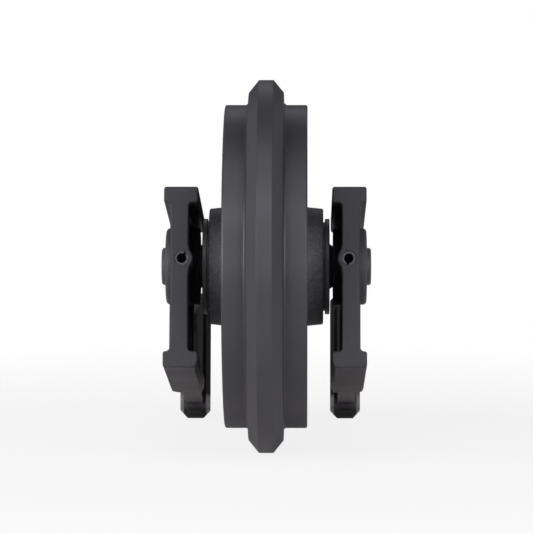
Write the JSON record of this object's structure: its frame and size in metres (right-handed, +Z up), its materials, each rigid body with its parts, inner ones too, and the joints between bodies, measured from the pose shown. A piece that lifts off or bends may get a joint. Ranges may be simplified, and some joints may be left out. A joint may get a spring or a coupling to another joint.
{
  "type": "track front idler",
  "caption": "Front idler for a small crawler track: flanged wheel on a fixed axle, carried by cast sliding brackets with long arms ending in bolting pads.",
  "frame": {"origin": "wheel centre: the middle of the guide flange on the axle line", "axes": "+X along the axle, +Y rearward to the bolting pads, +Z up with the idler standing on its flange and both arm tips"},
  "size_m": [0.2186, 0.5378, 0.39],
  "materials": {
    "wheel": "satin charcoal paint over a casting",
    "bracket": "satin charcoal paint over a casting",
    "axle": "satin charcoal paint over turned steel",
    "collar": "satin charcoal paint over turned steel",
    "bush": "turned bronze",
    "face_ring": "lapped cast alloy",
    "rubber_ring": "moulded nitrile",
    "spring_pin": "spring steel under the same paint",
    "plug": "steel plug under the same paint"
  },
  "bodies": {
    "axle_and_brackets": {"axle": "axle", "oil_plug": "plug", "bracket_right": "bracket", "bracket_left": "bracket", "spring_pin_right": "spring_pin", "spring_pin_left": "spring_pin", "collar_right": "collar", "collar_left": "collar", "seal_ring_collar_right": "face_ring", "seal_ring_collar_left": "face_ring", "toric_collar_right": "rubber_ring", "toric_collar_left": "rubber_ring", "axle_oring_right": "rubber_ring", "axle_oring_left": "rubber_ring"},
    "wheel": {"idler_wheel": "wheel", "bush_right": "bush", "bush_left": "bush", "seal_ring_hub_right": "face_ring", "seal_ring_hub_left": "face_ring", "toric_hub_right": "rubber_ring", "toric_hub_left": "rubber_ring"}
  },
  "joints": [
    {"name": "wheel_spin", "type": "hinge", "parent": "axle_and_brackets", "child": "wheel", "pos_m": [0, 0, 0], "axis": [1, 0, 0], "continuous": true}
  ]
}
